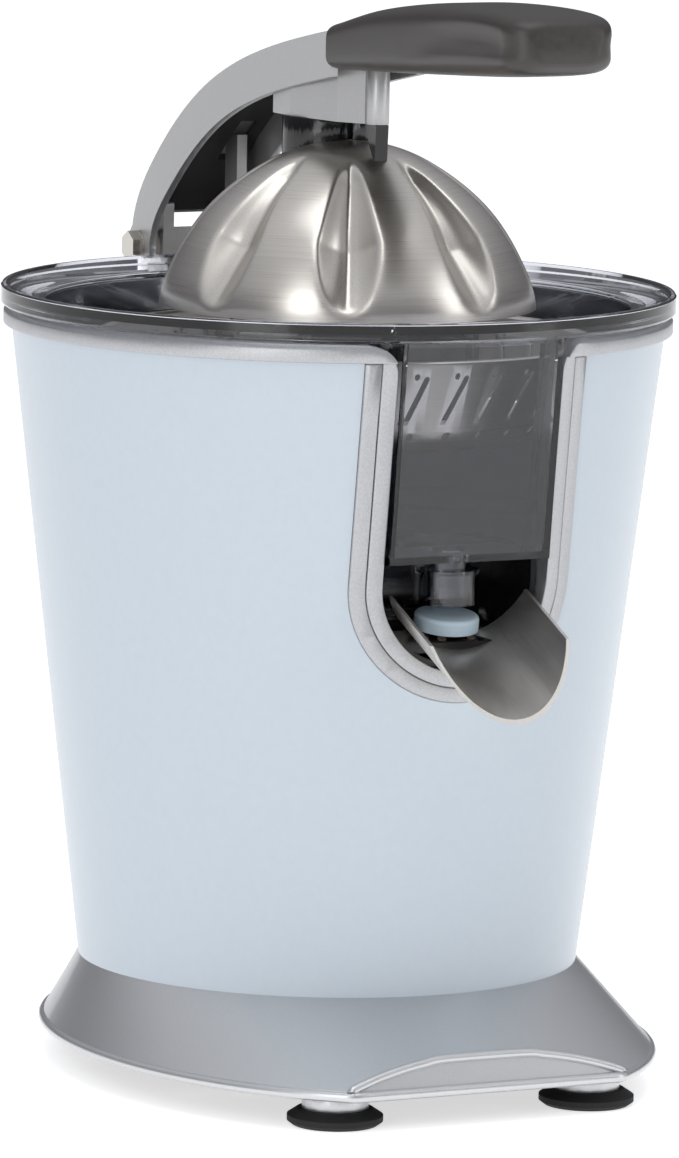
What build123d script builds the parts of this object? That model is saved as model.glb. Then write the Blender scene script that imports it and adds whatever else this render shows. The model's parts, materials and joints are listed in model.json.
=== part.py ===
"""Electric citrus press with a lever arm: one STEP file for each separate piece.

Millimetres, +Z up, spout towards -Y, arm hinge towards +Y. Housing and tank are drawn about the upright
axis of the body's cone, and the drive and the press about their own axis, which stands PRESS_Y from it.
save() moves each piece into place, so that the middle of the footprint lies over the origin.
"""
from build123d import *
from math import acos, atan2, cos, degrees, hypot, pi, radians, sin, sqrt, tan
import os

# ---- driving dimensions -------------------------------------------------------------------------
GAP = 0.15               # between moulded pieces that are pushed together
RUN = 0.05               # radial clearance of a turning or sliding fit

# levels
FOOT_H = 5.0             # rubber disc
SKIRT_Z = 10.0           # lower edge of the base skirt
SHELL_Z = 34.5           # seam between skirt and body shell
RING_Z = 237.0           # underside of the top ring
RING_TOP = 242.7
RIM_Z = 249.5            # top of the tank's flange
DECK_Z = 163.0           # underside of the deck
DECK_T = 4.0

# body shell, a cone
SHELL_R0 = 80.0          # at SHELL_Z
SHELL_R1 = 104.0         # at RING_Z
WALL = 2.2

# base skirt, an ellipse that reaches forward of the body
SKIRT_A = 91.5
SKIRT_B = 118.0
SKIRT_Y = -14.1
LIP_H = 3.5
FACE_Y = -116.2          # foot of the sloping front face
FACE_TILT = 20.0
FEET = [(44, -97), (-44, -97), (46, 74), (-46, 74)]

# U opening of the front
U_Z = 167.0              # centre of its round bottom
U_HALF = 28.5            # clear half width
LIP_HALF = 33.3          # outside of the ring's lip
TRIM_HALF = 38.2         # outside of the trim band
U_CORNER = 10.0          # where the ring turns down into the lip

# lever arm
GRIP_END = -154.0
ARM_HALF = 16.5
ARM_T = 2.5
ARM_DEPTH = 14.5
PIVOT = (116.0, 251.5)   # y, z of the hinge bolt
EYE_R = 8.2              # rounded end of the arm about the bolt
BOLT_R = 2.5
AXIS_Y = -(GRIP_END + PIVOT[0] + EYE_R) / 2     # the body's axis stands this far behind the middle

# press
PRESS_Y = -6.5           # the drive shaft stands this far in front of the body's axis
SHAFT_R = 4.0
HEX_AF = 6.8             # drive flats

# gear train: tooth counts, modules and places
TEETH_SMALL = 10
TEETH_LARGE = 50
MODULE_1 = 1.0           # motor pinion to the compound gear
MODULE_2 = 1.25          # compound gear to the output gear
PRESSURE = radians(25)
MOTOR = (0.0, 22.5)
LAYSHAFT = (30.0, 22.5)
GEARBOX_Z = 126.0
GEARBOX_TOP = 159.5
LEVEL_1 = (130.5, 139.0)
LEVEL_2 = (142.0, 152.0)

# spout
SPOUT_PIVOT = (-61.0, 152.0)
SPOUT_TILT = 22.0
SPOUT_R = 25.6
SPOUT_T = 1.0


# ---- helpers ------------------------------------------------------------------------------------
def tube(r_out, r_in, z0, z1, at=(0, 0)):
    body = Pos(*at, z0) * Cylinder(r_out, z1 - z0, align=(Align.CENTER, Align.CENTER, Align.MIN))
    if r_in:
        body -= Pos(*at, z0 - 1) * Cylinder(
            r_in, z1 - z0 + 2, align=(Align.CENTER, Align.CENTER, Align.MIN)
        )
    return body


def block(x0, x1, y0, y1, z0, z1):
    return Pos((x0 + x1) / 2, (y0 + y1) / 2, (z0 + z1) / 2) * Box(x1 - x0, y1 - y0, z1 - z0)


def rod_x(r, x0, x1, y, z, r_in=0):
    body = Pos((x0 + x1) / 2, y, z) * Rot(0, 90, 0) * Cylinder(r, x1 - x0)
    if r_in:
        body -= Pos((x0 + x1) / 2, y, z) * Rot(0, 90, 0) * Cylinder(r_in, x1 - x0 + 2)
    return body


def hexagon(af, z0, z1, at=(0, 0)):
    return Pos(*at, z0) * extrude(RegularPolygon(af / 2, 6, major_radius=False), z1 - z0)


def turned(points):
    """A solid of revolution about the shaft's axis, from (radius, z) corners."""
    return revolve(Plane.XZ * make_face(Polyline(points, close=True)), Axis.Z)


def side_slab(face_yz, half):
    """A profile drawn in (y, z), as thick as 2 * half across the middle plane."""
    return extrude(Plane.YZ * face_yz, half, both=True)


def shell_r(z):
    return SHELL_R0 + (SHELL_R1 - SHELL_R0) * (z - SHELL_Z) / (RING_Z - SHELL_Z)


def u_sketch(half, top):
    """The upright U in (x, z): a round bottom and straight sides."""
    return Pos(0, U_Z) * Circle(half) + Pos(0, (U_Z + top) / 2) * Rectangle(2 * half, top - U_Z)


def u_prism(half, top, y0, y1):
    solid = extrude(Plane.XZ * u_sketch(half, top), y1 - y0)
    return Pos(0, y1, 0) * solid


def cone_band(grow_in, grow_out, z0, z1):
    """A ring of the body's cone, from grow_in to grow_out outside the shell's surface."""
    return turned(
        [
            (shell_r(z0) + grow_in, z0),
            (shell_r(z0) + grow_out, z0),
            (shell_r(z1) + grow_out, z1),
            (shell_r(z1) + grow_in, z1),
        ]
    )


def screw(r, head_r, head_h, length, at, z):
    """A slotted pan-head screw with its head under height z and its shank above it."""
    head = tube(head_r, 0, z - head_h, z, at)
    shank = tube(r, 0, z - 0.01, z + length, at)
    slot = Pos(*at, z - head_h) * Box(head_r * 1.3, 0.8, head_h * 0.8)
    return head + shank - slot


def save(name, shape, y=0.0):
    """Writes one piece, drawn about an axis that stands at y from the body's own."""
    parts = shape if isinstance(shape, (list, tuple)) else [shape]
    solids = [s for part in parts for s in part.solids()]
    moved = [Pos(0, AXIS_Y + y, 0) * s for s in solids]
    export_step(moved[0] if len(moved) == 1 else Compound(moved), f"parts/{name}.step")


# ---- base ---------------------------------------------------------------------------------------
def skirt_volume(inset):
    """The outer form of the base, shrunk by inset on every side."""
    a = SKIRT_A - inset
    b = SKIRT_B - inset
    lip = Pos(0, SKIRT_Y, SKIRT_Z) * extrude(Ellipse(b, a, rotation=90), LIP_H)
    foot = Plane.XY.offset(SKIRT_Z + LIP_H) * Pos(0, SKIRT_Y) * Ellipse(b, a, rotation=90)
    top = Plane.XY.offset(SHELL_Z) * Circle(SHELL_R0 - inset)
    body = lip + loft([foot, top])
    face = Pos(0, FACE_Y + inset, SKIRT_Z) * Rot(-FACE_TILT, 0, 0) * Pos(0, -100, 0) * Box(400, 200, 200)
    return body - face


def base_skirt():
    skirt = skirt_volume(0) - skirt_volume(2.5)
    inside = skirt_volume(2.5)
    for x, y in SKIRT_SCREWS:
        boss = tube(4.0, 1.62, SKIRT_Z + 3, SHELL_Z - 1, (x, y)) & inside
        skirt += boss
    skirt -= rod_y(6.05, 60, 130, 0, GLAND_Z)
    return skirt


def rod_y(r, y0, y1, x, z, r_in=0):
    body = Pos(x, (y0 + y1) / 2, z) * Rot(90, 0, 0) * Cylinder(r, y1 - y0)
    if r_in:
        body -= Pos(x, (y0 + y1) / 2, z) * Rot(90, 0, 0) * Cylinder(r_in, y1 - y0 + 2)
    return body


SKIRT_SCREWS = [(66, -40), (-66, -40), (70, 25), (-70, 25)]
POSTS = [(50, -46), (-50, -46), (26, 64), (-26, 64)]
PLATE_T = 2.5


def base_plate():
    plate = skirt_volume(2.5 + GAP) & block(-150, 150, -150, 150, SKIRT_Z, SKIRT_Z + PLATE_T)
    for x, y in SKIRT_SCREWS + POSTS:
        plate -= tube(1.8, 0, 0, 20, (x, y))
    for x, y in FEET:
        plate -= tube(3.1, 0, 0, 20, (x, y))
    for i in range(-3, 4):
        plate -= Pos(i * 8, MOTOR[1] + PRESS_Y, SKIRT_Z) * Box(4, 50 - 3 * abs(i), 10)
    return plate


def foot_collars():
    return [tube(10.4, 3.1, FOOT_H, SKIRT_Z, at) for at in FEET]


def rubber_feet():
    feet = []
    for x, y in FEET:
        disc = turned([(0, 0), (13.4, 0), (15.0, 1.2), (15.0, 3.0), (12.0, FOOT_H), (0, FOOT_H)])
        cup = turned([(0, -1), (9.0, -1), (0, 1.6)])
        stem = tube(3.0, 0, FOOT_H, SKIRT_Z + PLATE_T)
        knob = turned([(0, 12.5), (4.2, 12.5), (3.0, 15.0), (0, 16.0)])
        feet.append(Pos(x, y, 0) * (disc - cup + stem + knob))
    return feet


GLAND_END = 104.5
GLAND_Z = 22.0
CORD_R = 3.2


def cord_gland():
    """Rubber bushing in the back of the skirt, with the hole for the mains lead."""
    collar = rod_y(8.5, GLAND_END - 16, GLAND_END, 0, GLAND_Z) - skirt_volume(-0.05)
    barrel = rod_y(6.0, GLAND_END - 24, GLAND_END - 4, 0, GLAND_Z)
    return collar + barrel - rod_y(CORD_R, 60, 130, 0, GLAND_Z)


# ---- housing ------------------------------------------------------------------------------------
def body_shell():
    shell = cone_band(-WALL, 0, SHELL_Z, RING_Z)
    shell -= u_prism(TRIM_HALF + 0.1, 300, -130, -60)
    for x in BRACKET_SCREWS_X:
        for z in BRACKET_SCREWS_Z:
            shell -= rod_y(2.2, 80, 130, x, z)
    return shell


def top_ring():
    """The ring round the tank, which turns down into the inner lip of the U opening."""
    ring = turned(
        [
            (97.6, RING_Z - 5),
            (99.4, RING_Z - 5),
            (99.4, RING_Z),
            (106.6, RING_Z),
            (106.6, RING_TOP - 1.6),
            (105.0, RING_TOP),
            (97.6, RING_TOP),
        ]
    )
    frame = cone_band(-7.5, 1.0, U_Z - LIP_HALF - 1, RING_Z + 0.01) & u_prism(LIP_HALF, 300, -130, -60)
    opening = u_sketch(U_HALF, 300)
    for side in (-1, 1):
        x = side * (U_HALF + U_CORNER)
        corner = Pos(side * (U_HALF + U_CORNER / 2), RING_TOP - U_CORNER / 2) * Rectangle(U_CORNER, U_CORNER)
        opening += corner - Pos(x, RING_TOP - U_CORNER) * Circle(U_CORNER)
    cut = Pos(0, -60, 0) * extrude(Plane.XZ * opening, 70)
    return ring + frame - cut


def u_trim():
    band = cone_band(-WALL, 0.8, U_Z - TRIM_HALF - 1, RING_Z - 0.2)
    band &= u_prism(TRIM_HALF, 300, -130, -60)
    return band - u_prism(LIP_HALF + 0.1, 300, -130, -60)


CHAMBER_BACK = -56.0
CHAMBER_HALF = 28.2
CHAMBER_T = 1.8
CHAMBER_TOP = 172.0


def spout_chamber():
    """Black pocket behind the U opening, in which the spout swings."""
    front = -85.5
    outer = u_prism(CHAMBER_HALF, CHAMBER_TOP, front, CHAMBER_BACK)
    inner = u_prism(CHAMBER_HALF - CHAMBER_T, CHAMBER_TOP + 10, front - 5, CHAMBER_BACK - CHAMBER_T)
    body = outer - inner - block(-50, 50, -100, -40, CHAMBER_TOP, 240)
    return body - rod_x(SPOUT_ROD_R, -40, 40, *SPOUT_PIVOT)


def deck():
    """The deck under the tank, its posts down to the base plate and the snout that guides the shaft."""
    z0, z1 = DECK_Z, DECK_Z + DECK_T
    deck = tube(shell_r(z0) - WALL - 0.6, 0, z0, z1)
    deck -= block(-CHAMBER_HALF - GAP, CHAMBER_HALF + GAP, -120, CHAMBER_BACK + GAP, 100, 200)
    deck -= u_prism(LIP_HALF + 1, 300, -130, -78)
    for at in POSTS:
        deck += tube(5.0, 1.62, SKIRT_Z + PLATE_T, z0 + 1, at)
    for x, y in GEARBOX_SCREWS:
        deck += tube(4.5, 1.4, GEARBOX_TOP, z0 + 1, (x, y + PRESS_Y))
    deck += tube(SNOUT_R, 0, z0, SNOUT_TOP, (0, PRESS_Y))
    deck -= tube(SNOUT_BORE, 0, z0 - 5, SNOUT_TOP + 1, (0, PRESS_Y))
    return deck


SNOUT_R = 8.3
SNOUT_BORE = 6.4
SNOUT_TOP = 208.0
BRACKET_SCREWS_X = (-8.0, 8.0)
BRACKET_SCREWS_Z = (206.0, 222.0)


def hinge_bracket():
    """Cast bracket on the back of the body: a foot against the cone and two ears for the bolt."""
    half = 11.2
    y_front = 108.3
    y_back = 121.0
    back = make_face(
        Polyline([(90, 198), (102.5, 198), (106, 204), (y_back, 238), (y_back, 243), (90, 243)], close=True)
    )
    foot = side_slab(back, half) & cone_band(0.05, 60, 190, RING_Z - 0.1)
    foot += block(-half, half, y_front, y_back, RING_Z - 1, 243)
    profile = make_face(
        FilletPolyline(
            [(y_front, 240), (y_front, 266.5), (y_front + 2.2, 266.5), (y_back - 3, 258), (y_back, 250), (y_back, 240)],
            radius=0.8,
            close=True,
        )
    )
    ears = side_slab(profile, half)
    ears -= block(-half + 3.8, half - 3.8, 90, 130, 245.5, 300)
    web = block(-half, half, y_front, y_front + 2.4, 243, 258)
    bracket = foot + ears + web
    bracket -= rod_x(BOLT_R + RUN, -30, 30, *PIVOT)
    for x in BRACKET_SCREWS_X:
        for z in BRACKET_SCREWS_Z:
            bracket -= rod_y(1.5, 80, 118, x, z)
    return bracket


def bracket_screws():
    """Four screws from inside the shell into the bracket's foot."""
    screws = []
    for x in BRACKET_SCREWS_X:
        for z in BRACKET_SCREWS_Z:
            y = sqrt((shell_r(z) - WALL) ** 2 - x**2) - 1.2
            screws.append(rod_y(1.45, y - 0.5, y + 12, x, z) + rod_y(3.2, y - 2.5, y - 0.4, x, z))
    return screws


# ---- gear train ---------------------------------------------------------------------------------
def gear(teeth, module, z0, z1, at=(0, 0), turn=0.0, backlash=0.12):
    """Spur gear with involute flanks; a tooth points along +X before the turn (degrees)."""
    pitch = teeth * module / 2
    base = pitch * cos(PRESSURE)
    tip = pitch + 0.9 * module
    root = pitch - 1.15 * module

    def involute(r):
        if r <= base:
            return 0.0
        a = acos(base / r)
        return tan(a) - a

    half = pi / (2 * teeth) - backlash / (2 * pitch) + involute(pitch)
    low = max(base, root)
    flank = [(r, half - involute(r)) for r in (low, (low + tip) / 2, tip)]

    def polar(r, a):
        return (r * cos(a), r * sin(a))

    edges = []
    for i in range(teeth):
        mid = 2 * pi * i / teeth
        rise = [polar(r, mid - a) for r, a in flank]
        fall = [polar(r, mid + a) for r, a in reversed(flank)]
        back = polar(root, mid + flank[0][1])
        following = polar(root, mid + 2 * pi / teeth - flank[0][1])
        if low > root:
            edges.append(Line(polar(root, mid - flank[0][1]), rise[0]))
            edges.append(Line(fall[2], back))
        edges.append(ThreePointArc(*rise))
        edges.append(ThreePointArc(rise[2], polar(tip, mid), fall[0]))
        edges.append(ThreePointArc(*fall))
        edges.append(ThreePointArc(back, polar(root, mid + pi / teeth), following))
    face = make_face(edges)
    return Pos(*at, z0) * Rot(0, 0, turn) * extrude(face, z1 - z0)


def mesh_turn(at, other, teeth, other_teeth, other_turn):
    """The turn that puts a gap of this gear over the tooth line of its partner."""
    line = degrees(atan2(at[1] - other[1], at[0] - other[0]))
    phase = (line - other_turn) * other_teeth / 360.0
    return line + 180 + (0.5 + phase) * 360.0 / teeth


LAY_TURN = mesh_turn(LAYSHAFT, (0, 0), TEETH_SMALL, TEETH_LARGE, 0.0)
LAY_TURN_1 = 0.0
MOTOR_TURN = mesh_turn(MOTOR, LAYSHAFT, TEETH_SMALL, TEETH_LARGE, LAY_TURN_1)
PIN_R = 2.5
HUB_R = 7.0


def output_gear():
    wheel = gear(TEETH_LARGE, MODULE_2, *LEVEL_2)
    wheel += tube(HUB_R, 0, 129.4, 160.5)
    for i in range(6):
        angle = radians(60 * i + 30)
        at = (17.5 * cos(angle), 17.5 * sin(angle))
        wheel -= tube(5.0, 0, LEVEL_2[0] - 1, LEVEL_2[1] + 1, at)
    return wheel - hexagon(HEX_AF + 2 * RUN, 120, 170)


def compound_gear():
    wheel = gear(TEETH_LARGE, MODULE_1, *LEVEL_1, LAYSHAFT, LAY_TURN_1)
    wheel += gear(TEETH_SMALL, MODULE_2, LEVEL_1[1] - 0.01, LEVEL_2[1], LAYSHAFT, LAY_TURN)
    wheel += tube(4.5, 0, 129.2, LEVEL_1[0] + 0.01, LAYSHAFT)
    return wheel - tube(PIN_R + RUN, 0, 120, 170, LAYSHAFT)


def motor_pinion():
    return gear(TEETH_SMALL, MODULE_1, LEVEL_1[0], LEVEL_1[1] + 0.3, MOTOR, MOTOR_TURN) - tube(
        ROTOR_SHAFT_R, 0, 120, 150, MOTOR
    )


def lay_pin():
    return tube(PIN_R, 0, GEARBOX_Z + 0.5, GEARBOX_TOP - 1.0, LAYSHAFT)


GEARBOX_WALL = 2.0
BOX_R = 38.5
BOX_R_LAY = 32.0
LUG_OUT = 3.2                # how far outside the wall the screws stand


def around(centre, radius, angle):
    return (centre[0] + radius * cos(radians(angle)), centre[1] + radius * sin(radians(angle)))


GEARBOX_SCREWS = [around((0, 0), BOX_R + LUG_OUT, a) for a in (183, 240, 300)]
GEARBOX_SCREWS += [around(LAYSHAFT, BOX_R_LAY + LUG_OUT, a) for a in (-28, 80)]


def gearbox_outline(shrink):
    motor = RectangleRounded(2 * STACK_HALF + 4 - 2 * shrink, 53 - 2 * shrink, 6)
    return Circle(BOX_R - shrink) + Pos(*LAYSHAFT) * Circle(BOX_R_LAY - shrink) + Pos(*MOTOR) * motor


def gearbox_case():
    """The open tray that holds the wheels, with the bearing seats and the motor's four pillars."""
    floor = 3.0
    split = GEARBOX_TOP - 3.0
    case = Pos(0, 0, GEARBOX_Z) * extrude(gearbox_outline(0), split - GEARBOX_Z)
    case -= Pos(0, 0, GEARBOX_Z + floor) * extrude(gearbox_outline(GEARBOX_WALL), 60)
    for at in GEARBOX_SCREWS:
        lug = tube(4.5, 0, split - 8, split, at)
        case += lug - Pos(0, 0, GEARBOX_Z + floor) * extrude(gearbox_outline(GEARBOX_WALL), 60)
    case += tube(BUSH_R + 1.6, 0, GEARBOX_Z + 1, 135.0)
    case -= tube(BUSH_R, 0, GEARBOX_Z + floor, 140.0)
    case -= tube(3.0, 0, 120, 140)
    case -= tube(PIN_R, 0, GEARBOX_Z + 0.5, 140, LAYSHAFT)
    case -= tube(6.6, 0, 120, 135, MOTOR)
    for at in GEARBOX_SCREWS:
        case -= tube(1.6, 0, 100, 170, at)
    for at in MOTOR_BOLTS:
        case += tube(4.0, 0, BRACKET_TOP, GEARBOX_Z + 0.5, at)
        case -= tube(1.9, 0, BRACKET_TOP - 1, GEARBOX_Z + 2.0, at)
    return case


def gearbox_cover():
    cover = Pos(0, 0, GEARBOX_TOP - 3.0) * extrude(gearbox_outline(0), 3.0)
    for at in GEARBOX_SCREWS:
        cover += tube(4.5, 0, GEARBOX_TOP - 3.0, GEARBOX_TOP, at)
    for at in GEARBOX_SCREWS:
        cover -= tube(1.6, 0, 100, 170, at)
    cover -= tube(BUSH_R, 0, 100, 170)
    return cover - tube(PIN_R, 0, 100, GEARBOX_TOP - 1.0, LAYSHAFT)


BUSH_R = 9.5


def output_bushes():
    """Two plain bearings for the hub of the output gear."""
    low = tube(BUSH_R, HUB_R + RUN, GEARBOX_Z + 3.0, 135.0)
    high = tube(BUSH_R, HUB_R + RUN, GEARBOX_TOP - 5.5, GEARBOX_TOP)
    return [low, high]


def gearbox_screws():
    return [screw(1.4, 2.9, 1.8, 13.0, at, GEARBOX_TOP - 11.0) for at in GEARBOX_SCREWS]


# ---- motor --------------------------------------------------------------------------------------
STACK = (78.0, 101.0)        # the laminations
STACK_HALF = 28.0
ROTOR_R = 14.6
ROTOR_SHAFT_R = 3.0
BRACKET_TOP = 110.5
BRACKET_LOW = 66.0
MOTOR_BOLTS = [(MOTOR[0] + sx * 23.5, MOTOR[1] + sy * 20.0) for sx in (-1, 1) for sy in (-1, 1)]


def motor_stator():
    stack = Pos(*MOTOR, sum(STACK) / 2) * Box(2 * STACK_HALF, 49, STACK[1] - STACK[0])
    stack -= tube(ROTOR_R + 0.4, 0, 60, 120, MOTOR)
    for side in (-1, 1):
        stack -= Pos(MOTOR[0] + side * 19.5, MOTOR[1], 90) * Box(5.4, 28.4, 60)
    for at in MOTOR_BOLTS:
        stack -= tube(1.9, 0, 60, 120, at)
    return stack


def field_coils():
    """Two wound coils in the stator's windows."""
    coils = []
    for side in (-1, 1):
        coil = Pos(MOTOR[0] + side * 19.5, MOTOR[1], sum(STACK) / 2) * Box(5.0, 28.0, 37.0)
        coils.append(fillet(coil.edges().filter_by(Axis.X), 3.0))
    return coils


def motor_rotor():
    core = tube(ROTOR_R, 0, STACK[0], STACK[1], MOTOR)
    rings = tube(12.5, 0, STACK[0] - 3, STACK[1] + 3, MOTOR)
    shaft = tube(ROTOR_SHAFT_R, 0, 56.0, 141.0, MOTOR)
    return core + rings + shaft


def cooling_fan():
    hub = tube(6.0, ROTOR_SHAFT_R, 56.5, 64.0, MOTOR)
    disc = tube(24.0, ROTOR_SHAFT_R + 1, 62.5, 64.0, MOTOR)
    fan = hub + disc
    for i in range(9):
        blade = Rot(0, 0, 40 * i) * Pos(14.5, 0, 60) * Rot(0, 0, 25) * Box(18, 1.2, 7)
        fan += Pos(*MOTOR, 0) * blade
    return fan


def motor_bracket(z0):
    """Sheet bracket across the laminations, with a cup for the shaft's bush."""
    plate = Pos(*MOTOR, z0 + 1) * Box(56, 14, 2)
    plate += Pos(*MOTOR, z0 + 1) * Box(14, 49, 2)
    for at in MOTOR_BOLTS:
        plate += tube(4.0, 0, z0, z0 + 2, at)
    plate += Pos(*MOTOR, z0 + 1) * (Rot(0, 0, 40.4) * Box(62, 7, 2) + Rot(0, 0, -40.4) * Box(62, 7, 2))
    plate += tube(8.0, 0, z0, z0 + 8, MOTOR)
    plate -= tube(6.0, 0, z0 - 1, z0 + 9, MOTOR)
    for at in MOTOR_BOLTS:
        plate -= tube(1.9, 0, z0 - 1, z0 + 3, at)
    return plate


def motor_bushes():
    low = tube(6.0, ROTOR_SHAFT_R + RUN, BRACKET_LOW, BRACKET_LOW + 8, MOTOR)
    high = tube(6.0, ROTOR_SHAFT_R + RUN, BRACKET_TOP - 2, BRACKET_TOP + 6, MOTOR)
    return [low, high]


def motor_spacers():
    """Sleeves that hold the brackets off the laminations."""
    sleeves = []
    for at in MOTOR_BOLTS:
        sleeves.append(tube(3.4, 1.9, BRACKET_LOW + 2, STACK[0], at))
        sleeves.append(tube(3.4, 1.9, STACK[1], BRACKET_TOP - 2, at))
    return sleeves


def motor_bolts():
    return [screw(1.8, 3.4, 2.4, 61.0, at, BRACKET_LOW) for at in MOTOR_BOLTS]


# ---- drive shaft and start switch ---------------------------------------------------------------
SHAFT_LOW = 133.0
JOURNAL = (176.0, 210.5)
SHAFT_TOP = 246.0
SPRING = (160.8, 175.9)


def drive_shaft():
    shaft = hexagon(HEX_AF, SHAFT_LOW, SHAFT_TOP)
    shaft += tube(SHAFT_R, 0, *JOURNAL)
    shaft += tube(1.8, 0, 129.7, SHAFT_LOW)
    groove = tube(6.0, 3.2, 176.6, 177.7)
    return shaft - groove


def shaft_clip():
    """E-clip in the shaft's groove, on which the spring pushes."""
    clip = tube(5.6, 3.2, 176.6, 177.7)
    return clip - block(-2.4, 2.4, 0, 10, 170, 180)


def return_spring():
    """Compression spring between the output gear and the clip."""
    wire = 0.6
    low, high = SPRING
    length = high - low - 2 * wire
    pitch = length / 4.5
    path = Helix(pitch, length, 4.75)
    coil = sweep(Plane(path @ 0, z_dir=path % 0) * Circle(wire), path, is_frenet=True)
    return Pos(0, 0, low + wire) * coil


def snout_bush():
    return tube(SNOUT_BORE, SHAFT_R + RUN, SNOUT_TOP - 10, SNOUT_TOP - 3)


def shaft_seal():
    """Lip seal that keeps juice off the bush."""
    return turned(
        [
            (SHAFT_R + 0.08, SNOUT_TOP - 1.2),
            (SHAFT_R + 1.2, SNOUT_TOP - 3.0),
            (SNOUT_BORE, SNOUT_TOP - 3.0),
            (SNOUT_BORE, SNOUT_TOP),
            (SHAFT_R + 0.9, SNOUT_TOP),
        ]
    )


def start_switch():
    body = block(-10, 10, -3.2, 3.2, 112.5, 123.5)
    body += block(-10, -6, -3.2, 3.2, 123, GEARBOX_Z) + block(6, 10, -3.2, 3.2, 123, GEARBOX_Z)
    body -= tube(1.55, 0, 116.5, 130)
    for x in (-8, 8):
        body -= tube(1.15, 0, 100, 130, (x, 0))
    for x in (-6, 0, 6):
        body += block(x - 2.4, x + 2.4, -9.5, -3.1, 115, 115.8)
    return body


def switch_plunger():
    return tube(1.5, 0, 119.5, 129.4)


def switch_screws():
    return [screw(1.1, 2.0, 1.4, 13.0, (x, 0), 112.5) for x in (-8, 8)]


# ---- juice path ---------------------------------------------------------------------------------
TANK_FLOOR = 173.5
TANK_T = 2.2
NOZZLE_Y = -79.5
WINDOW_HALF = 27.7
WINDOW_LEAN = 7.2            # how far the window leans out towards the rim


def tank_r(z):
    return shell_r(z) - 9.0


def tank_window(inset):
    """The flat-fronted bay that fills the U opening."""
    z0, z1 = TANK_FLOOR + inset, 244.0
    profile = make_face(
        Polyline(
            [(-60, z0), (-95.3 + inset, z0), (-95.3 - WINDOW_LEAN + inset, z1), (-60, z1)], close=True
        )
    )
    return side_slab(profile, WINDOW_HALF - inset)


def tank():
    low, high = TANK_FLOOR, 243.2
    r0, r1 = tank_r(low), 95.8
    outer = turned([(0, low), (r0, low), (r1, high), (0, high)]) + tank_window(0)
    bowl = turned(
        [
            (0, low + 7.0),
            (18, low + 7.0),
            (r0 - TANK_T, low + TANK_T),
            (r1 - TANK_T, high),
            (r1 - TANK_T, high + 10),
            (0, high + 10),
        ]
    )
    flange = turned(
        [
            (92.8, high - 2.5),
            (95.8, high - 2.5),
            (95.8, high),
            (106.8, high),
            (107.5, high + 0.8),
            (107.5, RIM_Z - 0.5),
            (107.0, RIM_Z),
            (105.9, RIM_Z),
            (105.2, RIM_Z - 0.9),
            (97.8, high + 2.1),
            (92.8, high + 2.1),
        ]
    )
    tank = outer - bowl - tank_window(TANK_T)
    mouth = turned([(0, high - 3), (r1 - TANK_T, high - 3), (r1 - TANK_T, 260), (0, 260)])
    tank = tank + (flange - mouth)
    chimney = [(CHIMNEY_BORE, low + 1), (16, low + 1), (16, STRAINER_Z), (11, STRAINER_Z), (11, CHIMNEY_TOP),
               (CHIMNEY_BORE, CHIMNEY_TOP)]
    tank += Pos(0, PRESS_Y, 0) * turned(chimney)
    tank -= tube(CHIMNEY_BORE, 0, low - 5, 230, (0, PRESS_Y))
    tank += tube(7.0, 0, 161.0, low + 1, (0, NOZZLE_Y))
    tank += tube(10.0, 0, 158.7, 169.5, (0, NOZZLE_Y)) - tube(8.4, 0, 150, 168.2, (0, NOZZLE_Y))
    return tank - tube(5.4, 0, 150, low + 4, (0, NOZZLE_Y))


CHIMNEY_BORE = 8.6
CHIMNEY_TOP = 213.0
STRAINER_Z = 203.8
STRAINER_T = 0.8
STRAINER_R = 80.0
STRAINER_RIM = 235.2
SLOTS = 36


def strainer():
    """Pressed steel basket, hung on the shoulder of the tank's chimney."""
    t = STRAINER_T
    low = STRAINER_Z + 0.05
    basket = turned(
        [
            (11.3, low),
            (58, low),
            (66, low + 3),
            (70.5, low + 8),
            (STRAINER_R - 1.5, STRAINER_RIM - t),
            (STRAINER_R + 1.2, STRAINER_RIM - t),
            (STRAINER_R + 1.2, STRAINER_RIM),
            (STRAINER_R - 1.5 - t, STRAINER_RIM),
            (70.5 - t, low + 8.2),
            (65.6, low + 3.6),
            (57.7, low + t),
            (11.3, low + t),
        ]
    )
    slots = []
    for i in range(SLOTS):
        angle = 360.0 * i / SLOTS
        lean = Pos(75, 0, low + 17) * Rot(0, 16, 0) * Rot(22, 0, 0) * Box(14, 1.6, 15)
        slots.append(Rot(0, 0, angle) * lean)
        slots.append(Rot(0, 0, angle) * Pos(44, 0, low) * Box(22, 1.6, 6))
    return basket - slots


CONE_Z = 208.6
CONE_SKIRT = 236.0
CONE_R = 40.0
CONE_TOP = 284.0
CONE_RIBS = 8


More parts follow.
